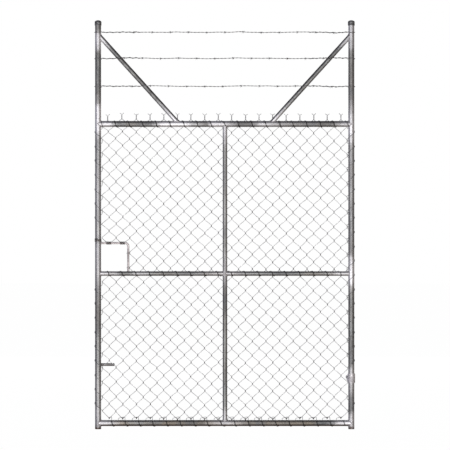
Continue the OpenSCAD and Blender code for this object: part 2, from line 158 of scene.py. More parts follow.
def ring_sweep(mesh, path, radius, sides=8):
    """Adds a closed bead along a closed path."""
    count = len(path)
    hub = sum(path, Vector()) / count
    rings = []
    for i, point in enumerate(path):
        along = (path[(i + 1) % count] - path[i - 1]).normalized()
        normal = point - hub
        normal = (normal - along * normal.dot(along)).normalized()
        across = along.cross(normal)
        corners = circle_points(point, radius(i), normal, across, sides)
        rings.append([mesh.verts.new(corner) for corner in corners])
    for i in range(count):
        here, ahead = rings[i], rings[(i + 1) % count]
        for s in range(sides):
            mesh.faces.new((here[s], here[(s + 1) % sides], ahead[(s + 1) % sides], ahead[s]))


def piece(name, mesh, material, nodes=()):
    """Makes an object of the mesh that rides on the leaf and stands for some CAD nodes."""
    bmesh.ops.recalc_face_normals(mesh, faces=mesh.faces)
    data = bpy.data.meshes.new(name)
    mesh.to_mesh(data)
    mesh.free()
    data.shade_smooth()
    data.materials.append(material)
    made = bpy.data.objects.new(name, data)
    bpy.context.scene.collection.objects.link(made)
    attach(made, "leaf")
    if nodes:
        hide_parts(*nodes)
    return made


# ---- materials ----


def add(tree, kind, inputs=None, **settings):
    """Adds a shader node; an input is a value or another node's socket."""
    made = tree.nodes.new("ShaderNode" + kind)
    for key, value in settings.items():
        setattr(made, key, value)
    for key, value in (inputs or {}).items():
        if isinstance(value, bpy.types.NodeSocket):
            tree.links.new(value, made.inputs[key])
        else:
            made.inputs[key].default_value = value
    return made


def new_material(name):
    """A material with its Principled shader and the row-frame coordinates."""
    material = bpy.data.materials.new(name)
    material.use_nodes = True
    tree = material.node_tree
    shader = tree.nodes["Principled BSDF"]
    place_socket = add(tree, "TexCoord").outputs["Object"]
    return material, tree, shader, place_socket


def colour(r, g, b):
    return (r, g, b, 1)


def noise_at(tree, where, scale, detail=4, roughness=0.55, stretch=None):
    """Noise from 0 to 1 at a scale per metre; stretch scales the three axes."""
    if stretch:
        where = add(tree, "Mapping", {"Vector": where, "Scale": stretch}).outputs[0]
    inputs = {"Vector": where, "Scale": scale, "Detail": detail, "Roughness": roughness}
    return add(tree, "TexNoise", inputs).outputs["Fac"]


def remap(tree, value, low, high, to_low=0.0, to_high=1.0):
    """Carries a value from low..high to to_low..to_high with a smooth step."""
    inputs = {"Value": value, "From Min": low, "From Max": high, "To Min": to_low, "To Max": to_high}
    return add(tree, "MapRange", inputs, interpolation_type="SMOOTHSTEP").outputs["Result"]


def mix(tree, factor, first, second, blend="MIX"):
    """Blends two colours; each input is a value or another node's socket."""
    made = tree.nodes.new("ShaderNodeMix")
    made.data_type = "RGBA"
    made.blend_type = blend
    for socket, value in ((made.inputs[0], factor), (made.inputs[6], first), (made.inputs[7], second)):
        if isinstance(value, bpy.types.NodeSocket):
            tree.links.new(value, socket)
        else:
            socket.default_value = value
    return made.outputs[2]


def calc(tree, operation, first, second):
    """The result of one Math node."""
    return add(tree, "Math", {0: first, 1: second}, operation=operation).outputs[0]


def bumps(tree, shader, height, distance, strength=0.5):
    made = add(tree, "Bump", {"Height": height, "Distance": distance, "Strength": strength})
    tree.links.new(made.outputs[0], shader.inputs["Normal"])


def along_tube(tree, where, start, end):
    """How far a point lies along a tube, from 0 at start to 1 at end."""
    way = end - start
    shifted = add(tree, "VectorMath", {0: where, 1: start}, operation="SUBTRACT").outputs[0]
    dot = add(tree, "VectorMath", {0: shifted, 1: way / way.length_squared}, operation="DOT_PRODUCT")
    return dot.outputs["Value"]


ZINC_DARK = colour(0.125, 0.128, 0.132)
ZINC = colour(0.26, 0.265, 0.26)
ZINC_WARM = colour(0.235, 0.205, 0.165)
ZINC_PAINT = colour(0.92, 0.91, 0.93)
WORN_PAINT = colour(0.42, 0.39, 0.42)
PAINTED_SHADE = colour(0.035, 0.034, 0.032)      # painted shade on faces that look up and along the rails' lacing
RUST_AND_UNDER_SHADE = colour(0.085, 0.05, 0.035)  # rust at the stiles' feet, partly painted shade from the bottom rail, and painted shade under the rails
# painted shade where the fabric's wires hook each other
KNOT_SHADE = colour(0.16, 0.155, 0.15)
RUST = colour(0.23, 0.14, 0.095)


LACING_SHADOW_SLOPE = 0.35                      # how far a turn of lacing leans along its rail for each step up


def lacing_shadow(tree, where, first_x, z):
    """Painted shadow along the turns of a rail's lacing, where they cross the front of the rail."""
    parts = add(tree, "SeparateXYZ", {"Vector": where}).outputs
    beside = calc(tree, "SUBTRACT", parts["X"], first_x)
    above = calc(tree, "SUBTRACT", parts["Z"], z)
    across = calc(tree, "ADD", beside, calc(tree, "MULTIPLY", above, LACING_SHADOW_SLOPE))
    distance = calc(tree, "PINGPONG", across, HALF_W)
    return remap(tree, distance, 1.2 * MM, 4.5 * MM, 0.8, 0.0)


def tube_material(name, start, end, tones, warm=0.25, streaks=(1, 1, 1), top_shade=0.3,
                  under_shade=0.0, foot_rust_and_shade=0.0, lacing=None):
    """Dull galvanised tube, with bright zinc-rich paint where tones, (metres along, 0 to 1), says so."""
    material, tree, shader, where = new_material(name)
    length = (end - start).length
    ragged = remap(tree, noise_at(tree, where, 38, 5, 0.65), 0.25, 0.75, -0.5, 0.5)
    shift = calc(tree, "MULTIPLY", ragged, 0.03 / length)
    at = calc(tree, "ADD", along_tube(tree, where, start, end), shift)
    ramp = add(tree, "ValToRGB", {"Fac": at})
    stops = ramp.color_ramp.elements
    while len(stops) < len(tones):
        stops.new(0.5)
    for stop, (metres, tone) in zip(stops, tones):
        stop.position = metres / length
        stop.color = (tone, tone, tone, 1)
    blotch = remap(tree, noise_at(tree, where, 95, 4, 0.7), 0.3, 0.7, 0.82, 1.18)
    fleck = remap(tree, noise_at(tree, where, 170, 3, 0.6), 0.6, 0.72, 0.0, 0.12)
    paint = calc(tree, "ADD", calc(tree, "MULTIPLY", ramp.outputs["Color"], blotch), fleck)
    paint = add(tree, "Clamp", {"Value": paint}).outputs[0]
    grime_and_shade = remap(tree, noise_at(tree, where, 26, 6, 0.7, streaks), 0.36, 0.66)
    brown = remap(tree, noise_at(tree, where, 9, 5, 0.6), 0.36, 0.62, 0.0, warm)
    spangle = add(tree, "TexVoronoi", {"Vector": where, "Scale": 130.0}).outputs["Color"]
    spangle = add(tree, "SeparateColor", {"Color": spangle}).outputs[0]
    spangle = add(tree, "CombineColor", {0: spangle, 1: spangle, 2: spangle}).outputs[0]
    dull = mix(tree, grime_and_shade, ZINC_DARK, ZINC)
    dull = mix(tree, brown, dull, ZINC_WARM)
    dull = mix(tree, 0.16, dull, spangle, "OVERLAY")
    worn_paint = mix(tree, remap(tree, grime_and_shade, 0.0, 1.0, 0.18, 0.0), ZINC_PAINT, WORN_PAINT)
    base = mix(tree, paint, dull, worn_paint)
    normal = add(tree, "NewGeometry").outputs["Normal"]
    upward = add(tree, "SeparateXYZ", {"Vector": normal}).outputs["Z"]
    # painted shade: faces that look up are darkened, as the light leaves the tubes' upper sides darker
    base = mix(tree, remap(tree, upward, 0.15, 0.6, 0.0, top_shade), base, PAINTED_SHADE)
    # painted shade: faces that look down are darkened, most on the rails nearest the floor
    if under_shade:
        base = mix(tree, remap(tree, upward, -0.7, -0.25, under_shade, 0.0), base, RUST_AND_UNDER_SHADE)
    # rust at the stile's foot, partly painted shade under the bottom rail
    if foot_rust_and_shade:
        low = remap(tree, at, 0.0, 0.02 / length, foot_rust_and_shade, 0.0)
        base = mix(tree, low, base, RUST_AND_UNDER_SHADE)
    # painted shadow of the lacing's turns on the rail's front
    if lacing:
        base = mix(tree, lacing_shadow(tree, where, *lacing), base, PAINTED_SHADE)
    tree.links.new(base, shader.inputs["Base Color"])
    tree.links.new(remap(tree, paint, 0.0, 1.0, 0.7, 0.8), shader.inputs["Metallic"])
    tree.links.new(remap(tree, grime_and_shade, 0.0, 1.0, 0.52, 0.40), shader.inputs["Roughness"])
    bumps(tree, shader, noise_at(tree, where, 300, 3, 0.6), 0.0005, 0.25)
    return material


def metal_material(name, dark, light, scale, metallic=0.7, roughness=(0.38, 0.6), tint=None, tint_amount=0.3):
    """Weathered metal: two tones in noise, a stain tint, varied roughness and fine bumps."""
    material, tree, shader, where = new_material(name)
    patches = remap(tree, noise_at(tree, where, scale, 6, 0.68), 0.34, 0.68)
    base = mix(tree, patches, dark, light)
    if tint:
        stain = remap(tree, noise_at(tree, where, scale * 0.4, 5, 0.6), 0.45, 0.7, 0.0, tint_amount)
        base = mix(tree, stain, base, tint)
    tree.links.new(base, shader.inputs["Base Color"])
    shader.inputs["Metallic"].default_value = metallic
    tree.links.new(remap(tree, patches, 0.0, 1.0, roughness[1], roughness[0]), shader.inputs["Roughness"])
    bumps(tree, shader, noise_at(tree, where, scale * 8, 3, 0.6), 0.0005, 0.5)
    return material


def by_height(material, low, high, below, above):
    """Multiplies a finish by one tone below low and by another above high, metres up in the row frame."""
    tree = material.node_tree
    shader = tree.nodes["Principled BSDF"]
    base = shader.inputs["Base Color"].links[0].from_socket
    where = add(tree, "TexCoord").outputs["Object"]
    up = add(tree, "SeparateXYZ", {"Vector": where}).outputs["Z"]
    tone = mix(tree, remap(tree, up, low, high), below, above)
    tree.links.new(mix(tree, 1.0, base, tone, "MULTIPLY"), shader.inputs["Base Color"])
    return material


def rail_lacing_finish(name, z, radius):
    """Lacing wire, darkened with painted shade on the rail's front and bright where it stands above the rail.
    """
    wire = metal_material("lacing_" + name, colour(0.30, 0.30, 0.305), colour(0.62, 0.62, 0.62), 70)
    top = HINGE.z + z + radius
    # painted shade: the wire is darkened where it lies on the rail's front
    return by_height(wire, top - 4 * MM, top, colour(0.14, 0.135, 0.13), colour(1, 1, 1))


def finish_node(node, material):
    """Gives a CAD node its material."""
    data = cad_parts[node].data
    data.materials.clear()
    data.materials.append(material)



def fabric_material():
    """Light galvanised wire, with painted shade where two wires hook each other."""
    wire = metal_material("fabric_wire", colour(0.46, 0.46, 0.465), colour(0.82, 0.82, 0.83), 60)
    tree = wire.node_tree
    shader = tree.nodes["Principled BSDF"]
    base = shader.inputs["Base Color"].links[0].from_socket
    grime_and_shade = add(tree, "Attribute", attribute_name="grime_and_shade").outputs["Fac"]
    # painted shade at the knots, read from the wires' vertex values
    knots = remap(tree, grime_and_shade, 0.1, 1.0, 0.0, 0.85)
    tree.links.new(mix(tree, knots, base, KNOT_SHADE), shader.inputs["Base Color"])
    return wire


fabric_finish = fabric_material()
stile_lacing_finish = metal_material("stile_lacing_wire", colour(0.20, 0.20, 0.202),
                                     colour(0.48, 0.48, 0.48), 70)
# a brightened copy of the tie wire: painted light that offsets the shade on the ties of the hand hole's leg
lit_tie_finish = metal_material("lit_tie_wire", colour(0.62, 0.60, 0.60), colour(0.88, 0.86, 0.85), 90)
tie_finish = metal_material("tie_wire", colour(0.05, 0.046, 0.046), colour(0.18, 0.165, 0.16), 90,
                            tint=RUST, tint_amount=0.4)
tail_finish = metal_material("strand_tail", colour(0.015, 0.015, 0.017), colour(0.07, 0.07, 0.073), 80,
                             tint=RUST, tint_amount=0.3)
strand_finish = metal_material("barbed_wire", colour(0.16, 0.16, 0.165), colour(0.42, 0.42, 0.425), 80,
                               tint=RUST, tint_amount=0.3)
cap_finish = metal_material("cap_metal", colour(0.08, 0.08, 0.083), colour(0.26, 0.26, 0.26), 60)
pintle_finish = metal_material("hinge_iron", colour(0.05, 0.05, 0.052), colour(0.17, 0.165, 0.16), 55,
                               tint=RUST, tint_amount=0.35)
band_finish = metal_material("zinc_coated_hinge", colour(0.50, 0.48, 0.49), colour(0.92, 0.90, 0.92), 60,
                             metallic=0.6, tint=RUST, tint_amount=0.08)
bolt_finish = metal_material("fastener_zinc", colour(0.16, 0.16, 0.16), colour(0.52, 0.51, 0.52), 90)
bar_finish = metal_material("bar_steel", colour(0.58, 0.53, 0.53), colour(0.86, 0.80, 0.79), 26,
                            tint=colour(0.3, 0.2, 0.165), tint_amount=0.3)
drop_bolt_finish = metal_material("drop_bolt_steel", colour(0.22, 0.215, 0.215),
                                  colour(0.40, 0.39, 0.385), 18, tint=RUST, tint_amount=0.2)
guide_finish = metal_material("bolt_guide_steel", colour(0.09, 0.09, 0.09), colour(0.3, 0.3, 0.3), 45,
                              tint=RUST, tint_amount=0.25)
weld_finish = metal_material("weld_zinc_paint", colour(0.30, 0.28, 0.29), colour(0.84, 0.82, 0.84), 110,
                             metallic=0.5, roughness=(0.45, 0.65), tint=RUST, tint_amount=0.25)

# (metres from the tube's first end, tone): bright near welds and where the coating was mended
HINGE_STILE_TONES = (
    (0.0, 0.5), (0.04, 0.8), (0.08, 0.6), (0.1, 0.06), (0.17, 0.13), (0.23, 0.4), (0.33, 0.5),
    (0.36, 0.06), (0.74, 0.04), (0.78, 0.2), (0.83, 0.98), (0.93, 0.85), (0.97, 0.2), (1.15, 0.16),
    (1.3, 0.22), (1.5, 0.3), (1.56, 0.26), (1.6, 0.6), (1.66, 1.0), (1.72, 0.8), (1.8, 0.3),
    (1.86, 0.08), (2.08, 0.05), (2.12, 0.45), (2.16, 0.6), (2.24, 0.65))
LATCH_STILE_TONES = (
    (0.0, 0.3), (0.04, 0.4), (0.1, 0.5), (0.15, 0.2), (0.24, 0.28), (0.36, 0.09), (0.64, 0.08),
    (0.78, 0.2), (0.85, 0.42), (1.0, 0.55), (1.05, 0.3), (1.2, 0.26), (1.26, 0.4), (1.4, 0.44),
    (1.5, 0.24), (1.61, 0.26), (1.66, 0.95), (1.78, 1.0), (1.81, 0.3), (1.87, 0.08), (2.07, 0.02),
    (2.1, 0.4), (2.13, 0.85), (2.19, 0.85), (2.21, 0.1))
TOP_RAIL_TONES = (
    (0.0, 0.9), (0.07, 0.85), (0.095, 0.05), (0.3, 0.08), (0.33, 0.6), (0.36, 1.0), (0.48, 0.98),
    (0.53, 0.35), (0.6, 0.12), (0.63, 0.95), (0.7, 0.85), (0.74, 0.4), (0.79, 0.08), (0.86, 0.1),
    (0.9, 0.6), (0.95, 0.55), (1.03, 0.3), (1.08, 0.16), (1.18, 0.1), (1.3, 0.04), (1.35, 0.5),
    (1.4, 0.7))
MID_RAIL_TONES = (
    (0.0, 0.75), (0.045, 0.7), (0.06, 0.45), (0.105, 0.4), (0.12, 0.06), (0.19, 0.06), (0.21, 0.45),
    (0.26, 0.3), (0.3, 0.07), (0.52, 0.08), (0.6, 0.2), (0.66, 0.4), (0.74, 0.45), (0.8, 0.22),
    (0.86, 0.07), (1.24, 0.06), (1.29, 0.2), (1.33, 0.6), (1.4, 0.6))
BOTTOM_RAIL_TONES = (
    (0.0, 0.95), (0.05, 0.75), (0.1, 0.3), (0.15, 0.04), (0.58, 0.03), (0.62, 0.25), (0.66, 0.45),
    (0.72, 0.6), (0.78, 0.3), (0.84, 0.05), (1.26, 0.0), (1.3, 0.2), (1.34, 0.85), (1.4, 1.0))
UPPER_MULLION_TONES = (
    (0.0, 0.4), (0.05, 0.3), (0.1, 0.2), (0.15, 0.08), (0.24, 0.07), (0.3, 0.15), (0.6, 0.12),
    (0.7, 0.18), (0.73, 0.4), (0.77, 0.75), (0.83, 0.8))
LOWER_MULLION_TONES = (
    (0.0, 0.5), (0.05, 0.35), (0.08, 0.0), (0.2, 0.01), (0.4, 0.03), (0.7, 0.01), (0.74, 0.1),
    (0.79, 0.3), (0.83, 0.5))
BRACE_TONES = (
    (0.0, 0.7), (0.06, 0.6), (0.1, 0.12), (0.16, 0.0), (0.3, 0.04), (0.44, 0.03), (0.52, 0.15),
    (0.57, 0.5), (0.62, 0.85), (0.67, 0.8))


def finish_tubes():
    """Finishes the stiles, rails, mullions and braces."""
    up = Vector((0, 0, 1))
    upright = (1, 1, 0.12)
    level = (0.12, 1, 1)
    stile_h = size("hinge_stile", 2)
    stiles = (("hinge_stile", 0, HINGE_STILE_TONES), ("latch_stile", LATCH_X, LATCH_STILE_TONES))
    for node, x, tones in stiles:
        foot = place(x, 0, 0)
        finish_node(node, tube_material(node, foot, foot + up * stile_h, tones, 0.3, upright, foot_rust_and_shade=0.95))
    # under is the painted shade on each rail's underside
    rails = (
        ("top_rail", TOP_RAIL_Z, TOP_RAIL_TONES, 0.35, 0.0, TOP_LACING_X),
        ("mid_rail", MID_RAIL_Z, MID_RAIL_TONES, 0.45, 0.35, MID_LACING_X),
        ("bottom_rail", BOTTOM_RAIL_Z, BOTTOM_RAIL_TONES, 1.0, 0.95, BOTTOM_LACING_X))
    for node, z, tones, warm, under, first_turn in rails:
        start, end = place(LATCH_X, 0, z), place(0, 0, z)
        lacing = (HINGE.x + first_turn + HALF_W / 2, HINGE.z + z)       # where a turn crosses the front
        finish_node(node, tube_material(node, start, end, tones, warm, level, under_shade=under, lacing=lacing))
    for node, tones in (("upper_mullion", UPPER_MULLION_TONES), ("lower_mullion", LOWER_MULLION_TONES)):
        low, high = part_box(node)
        foot = Vector((middle(node).x, HINGE.y, low.z))
        finish_node(node, tube_material(node, foot, foot + up * (high.z - low.z), tones, 0.3, upright))
    for node, side in (("hinge_side_brace", 1), ("latch_side_brace", -1)):
        top, foot = brace_ends(side)
        # the braces' upper sides get strong painted shade
        finish_node(node, tube_material(node, top, foot, BRACE_TONES, 0.2, (0.4, 1, 0.4), 0.95))


# ---- woven fabric ----

SAG = 7.5 * MM                          # how far the slack fabric hangs, less towards the latch side
SAG_EASES = 0.45                        # across the leaf, where the sag starts to ease
UPPER_TILT = 10 * MM                    # the upper half leans down towards the hinge side
TILT_PIVOT = 0.42                       # across the leaf, where the tilt changes sign
LOWER_BELLY = 7.2 * MM                  # the lower half bellies down between the stiles
BELLY_RISE = 0.1                        # the part of the belly by which its sides come up
CORNER_LIFT = 4.5 * MM                  # the lower corner at the hinge side is laced up
HOLE_LIFT = 6 * MM                      # the edge above the hand hole is tied up
TOP_LEAN = 11 * MM                      # the top corner at the latch side is pulled to the stile
TIP_DROP = 8 * MM                       # the last twisted tips there hang low
SIDE_SHIFT = 2 * MM
SCATTER = (1.1 * MM, 1.2 * MM)          # sideways and up
WAVE = 1.0 * MM
random.seed(7)
DRIFT = {
    (c, h): (random.uniform(-SCATTER[0], SCATTER[0]), random.uniform(-SCATTER[1], SCATTER[1]))
    for c in range(COLUMNS + 1)
    for h in range(ROWS + 1)
}


def fade(value, start, full):
    """0 at start and before it, 1 at full and past it, even in between."""
    return min(1, max(0, (value - start) / (full - start)))


def peak(value, centre, reach):
    """1 at a centre, falling evenly to 0 at reach from it."""
    return max(0, 1 - abs(value - centre) / reach)


def droop(c, h):
    """How far a crossing hangs below the even grid."""
    across = c / COLUMNS
    eased = max(0, across - SAG_EASES) / 0.6 * fade(h, 0, 6)
    sag = SAG * fade(h, ROWS + 4, ROWS - 6) * (1 - eased)
    tilt = UPPER_TILT * (TILT_PIVOT - across) * fade(h, 20, 32) * fade(h, ROWS, ROWS - 3)
    belly = LOWER_BELLY * (math.sin(math.pi * across) ** 2 - BELLY_RISE) * fade(h, 24, 12)
    corner = CORNER_LIFT * fade(across, 0.15, 0) * peak(h, 3.5, 3)
    lift = HOLE_LIFT * peak(h, 25, 4) * fade(c, 28, 31)
    if h == ROWS and c >= COLUMNS - 1:
        lift -= TIP_DROP
    return sag + tilt + belly - corner - lift


def crossing(c, h):
    """Where two wires hook each other, a little off the even grid."""
    wave = WAVE * math.sin(0.9 * c + 0.37 * h)
    lean = TOP_LEAN * fade(h, ROWS - 5, ROWS) * fade(c, 30, COLUMNS)
    dx, dz = DRIFT[(c, h)]
    return column_x(c) + dx + wave * 0.5 + SIDE_SHIFT - lean, row_z(h) + dz + wave - droop(c, h)


BEND_RISES = (-6.5, -3.6, -1.9, -0.8, 0, 0.8, 1.9, 3.6, 6.5)       # mm above a bend's middle
# painted shade round each bend's middle, where it hooks its neighbour
BEND_KNOT_SHADE = [max(0, 1 - max(0, abs(rise) - 1.9) / 4.6) for rise in BEND_RISES]


def bend_points(p, h):
    """One bend of wire p at half row h: it passes from one layer to the other while it turns back."""
    right = (p + h) % 2 == 1
    side = 1 if right else -1
    x, z = crossing(p if right else p + 1, h)
    slope = HALF_W / HALF_H
    points = []
    for rise in BEND_RISES:
        dz = rise * MM
        out = HOOK - slope * (math.hypot(dz, BEND) - BEND)
        depth = WEAVE_DEPTH * math.sin(math.pi / 2 * max(-1, min(1, rise / 3.4)))
        points.append(place(x + side * out, FABRIC_Y + side * depth, z + dz))
    return points


KNUCKLE = (                             # mm sideways, back and up from the lowest crossing
    (-3.4, -1.7, 7.5), (-0.6, -2.1, 4.0), (1.2, -2.0, 0.6),
    (1.9, -0.9, -2.0), (1.7, 0.9, -2.2), (0.6, 1.8, 0.2))


def knuckle(p):
    """The hooked lower end of wire p."""
    side = 1 if p % 2 == 1 else -1
    x, z = crossing(p if side > 0 else p + 1, 0)
    return [place(x + side * a * MM, FABRIC_Y + side * b * MM, z + up * MM) for a, b, up in KNUCKLE]


def twisted_tip(p):
    """The upper end of wire p: it twists round its neighbour and its sharp tip splays out."""
    side = 1 if p % 2 == 1 else -1
    x, z = crossing(p if side > 0 else p + 1, ROWS)
    points = []
    steps = 14
    for i in range(steps + 1):
        turn = math.radians(60 + 600 * i / steps) + (math.pi if side > 0 else 0)
        rise = -8 * MM + (TWIST_H + 6 * MM) * i / steps
        points.append(place(x + HOOK * math.cos(turn), FABRIC_Y + HOOK * math.sin(turn), z + rise))
    lift = random.uniform(0.4, 1.0) * SPLAY[1]
    reach = random.uniform(0.75, 1.0) * SPLAY[0]
    top = points[-1]
    points.append(top + Vector((side * reach * 0.35, 0, 1.5 * MM)))
    points.append(top + Vector((side * reach, 0, 2 * MM + lift)))
    return points


def woven_wire(mesh, start, p, rows, end=()):
    """Adds wire p: its first points, a bend at each of some half rows, and its last points."""
    path = list(start)
    grime_and_shade = [1] * len(path)
    for h in rows:
        path += bend_points(p, h)
        grime_and_shade += BEND_KNOT_SHADE
    path += end
    grime_and_shade += [0.3] * len(end)
    sweep(mesh, path, FABRIC_WIRE_R, 6, grime_and_shade=grime_and_shade)


HOLE_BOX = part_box("hand_hole_frame")
ROD_R = 6 * MM                          # the hand hole's bent bar
ROD_Y = (HOLE_BOX[0].y + HOLE_BOX[1].y) / 2 - HINGE.y
ROD_Z = HOLE_BOX[1].z - ROD_R - HINGE.z
ROD_X = HOLE_BOX[1].x - ROD_R - HINGE.x


CUT_END = (                             # a cut wire's first points: beside its tie, behind the bar, above it
    (13 * MM, 7.4 * MM, 1 * MM), (14.5 * MM, 9 * MM, 6 * MM))


def weave():
    """Weaves the fabric: whole wires, and the wires cut at the hand hole in two pieces."""
    whole = bmesh.new()
    above = bmesh.new()
    below = bmesh.new()
    first_cut = COLUMNS - CUT_WIRES
    top_row = math.ceil((ROD_Z + 8 * MM - FABRIC_FOOT) / HALF_H)
    last_row = math.floor((MID_RAIL_Z - FABRIC_FOOT) / HALF_H)
    for p in range(COLUMNS):
        if p < first_cut:
            woven_wire(whole, knuckle(p), p, range(1, ROWS), twisted_tip(p))
            continue
        woven_wire(below, knuckle(p), p, range(1, last_row + 1))
        tie_column = p if p % 2 == 1 else p + 1
        side = 1 if p < tie_column else -1
        tie_x = column_x(tie_column)
        start = [place(tie_x + side * beside, ROD_Y + back, ROD_Z + up) for beside, back, up in CUT_END]
        woven_wire(above, start, p, range(top_row, ROWS), twisted_tip(p))
    piece("woven_wires_main", whole, fabric_finish, ["fabric_main"])
    piece("woven_wires_above_hand_hole", above, fabric_finish, ["fabric_above_hand_hole"])
    piece("woven_wires_below_hand_hole", below, fabric_finish, ["fabric_below_hand_hole"])


# ---- lacing ----

LACING_R = 1.4 * MM
WIRE_GAP = 0.2 * MM                     # between a wire and the tube it is wound on
TOP_LACING_X = column_x(COLUMNS - 2) - HALF_W / 2       # where each rail's first turn passes over it
MID_LACING_X = column_x(COLUMNS - 1) - HALF_W / 2
BOTTOM_LACING_X = column_x(COLUMNS - 1)
HOOK_Y = 20.5 * MM                      # how far behind the tubes' axes the lacing hooks the fabric
RAIL_HOOK_R = 6.5 * MM
STILE_HOOK_R = 3.4 * MM
SWAY = 1.5 * MM                         # how far the turns stray from their even pitch
LACE_STEPS = 26
FRONT_STEEPNESS = 0.85                  # 0 winds evenly, 1 crosses the front of a rail straight down


def belt_point(circles, turn):
    """The point furthest towards turn on a belt round circles of ((across, up), radius)."""
    way = Vector((math.cos(turn), math.sin(turn)))
    hub, radius = max(circles, key=lambda circle: way.dot(Vector(circle[0])) + circle[1])
    return Vector(hub) + radius * way


BRACE_FOOT_X = column_x(10) - HALF_W / 2
BRACE_PUSH = 11 * MM


def pushed(x):
    """The turn beside the hinge side brace stands clear of its foot."""
    return x + BRACE_PUSH * peak(x, BRACE_FOOT_X, HALF_W)


def lace_rail(name, z, radius, circles, top_x, past_brace=False):
    """Winds a wire along a rail, a turn a diamond, hooking the fabric."""
    turns = COLUMNS // 2 - 1
    mesh = bmesh.new()
    path = []
    for i in range(turns * LACE_STEPS + 1):
        turn = 2 * math.pi * i / LACE_STEPS
        q = belt_point(circles, math.radians(90) + turn)
        x = top_x + HALF_W * turn / math.pi
        clear = min(1, max(0, abs(x - MULLION_X) / HALF_W - 0.5))
        x += FRONT_STEEPNESS * clear * HALF_W / math.pi * math.cos(turn)
        sway = SWAY * math.sin(i / LACE_STEPS * 5.1)
        path.append(place((pushed(x) if past_brace else x) + sway, q[0], z + q[1]))
    sweep(mesh, path, LACING_R, 8)
    piece("lacing_" + name, mesh, rail_lacing_finish(name, z, radius), [name + "_lacing"])


def lace_stile(name, x, inner, runs):
    """Winds a wire up a stile for each run of half rows; inner is the way to the fabric."""
    mesh = bmesh.new()
    belt = (((0, 0), HEAVY_R + LACING_R + WIRE_GAP), ((20 * MM, HOOK_Y), STILE_HOOK_R))
    for h0, h1 in runs:
        path = []
        for i in range((h1 - h0) // 2 * LACE_STEPS + 1):
            q = belt_point(belt, -2 * math.pi * i / LACE_STEPS)
            sway = SWAY * math.sin(i / LACE_STEPS * 4.3)
            path.append(place(x + inner * q[0], q[1], row_z(h0) + 2 * HALF_H * i / LACE_STEPS + sway))
        sweep(mesh, path, LACING_R, 8)
    piece("lacing_" + name, mesh, stile_lacing_finish, [name + "_lacing"])


def lace_all():
    """Laces the fabric to the rails and the stiles."""
    hug = LACING_R + WIRE_GAP
    hooks = (((HOOK_Y, 6 * MM), RAIL_HOOK_R), ((HOOK_Y, -6 * MM), RAIL_HOOK_R))
    heavy = (((0, 0), HEAVY_R + hug),) + hooks
    light = (((0, 0), LIGHT_R + hug),) + hooks
    foot = (((0, 0), HEAVY_R + hug), ((HOOK_Y, 25 * MM), RAIL_HOOK_R))
    lace_rail("top_rail", TOP_RAIL_Z, HEAVY_R, heavy, TOP_LACING_X, True)
    lace_rail("mid_rail", MID_RAIL_Z, LIGHT_R, light, MID_LACING_X)
    lace_rail("bottom_rail", BOTTOM_RAIL_Z, HEAVY_R, foot, BOTTOM_LACING_X)
    lace_stile("hinge_stile", 0, -1, ((1, 3), (7, 41)))
    lace_stile("latch_stile", LATCH_X, 1, ((1, 19), (27, 41)))


# ---- ties and wraps ----

TIE_R = 1.5 * MM
TIE_GAP = 0.1 * MM
TIE_PITCH = 4.6 * MM


def coil(mesh, centre, axis, start, radius, turns, pitch, wire_r, steps=16):
    """Winds a wire round an axis; start is the direction of its first end."""
    across = axis.cross(start).normalized()
    path = []
    for i in range(round(turns * steps) + 1):
        t = 2 * math.pi * i / steps
        out = start * math.cos(t) + across * math.sin(t)
        path.append(centre + out * radius + axis * (pitch * i / steps - pitch * turns / 2))
    sweep(mesh, path, wire_r, 8)


def tie_hand_hole():
    """Ties on the hand hole's bar and its leg, and the turns round the latch stile above it."""
    mesh = bmesh.new()
    along_x = Vector((1, 0, 0))
    up = Vector((0, 0, 1))
    for c in (COLUMNS - 1, COLUMNS - 3):
        centre = place(column_x(c), ROD_Y, ROD_Z)
        coil(mesh, centre, along_x, Vector((0, 1, 0)), ROD_R + TIE_R + TIE_GAP, 6, TIE_PITCH, TIE_R)
    piece("ties_hand_hole", mesh, tie_finish, ["hand_hole_ties"])
    mesh = bmesh.new()
    for h in (21, 23):
        x = column_x(COLUMNS - CUT_WIRES)
        hook = ((x - ROD_X, FABRIC_Y - ROD_Y), 3.6 * MM)
        belt = (((0, 0), ROD_R + TIE_R + TIE_GAP), hook)
        path = []
        for i in range(2 * LACE_STEPS + 1):
            q = belt_point(belt, 2 * math.pi * i / LACE_STEPS)
            path.append(place(ROD_X + q[0], ROD_Y + q[1], row_z(h) + (i / LACE_STEPS - 1) * TIE_PITCH))
        sweep(mesh, path, TIE_R, 8)
    piece("ties_hand_hole_leg", mesh, lit_tie_finish)
    mesh = bmesh.new()
    wraps = middle("stile_tie_wraps").z - HINGE.z
    centre = place(LATCH_X, 0, wraps)
    coil(mesh, centre, up, Vector((1, 0, 0)), HEAVY_R + TIE_R + TIE_GAP, 3.75, TIE_PITCH, TIE_R, 32)
    piece("wraps_latch_stile", mesh, tie_finish, ["stile_tie_wraps"])


# ---- barbed wire ----

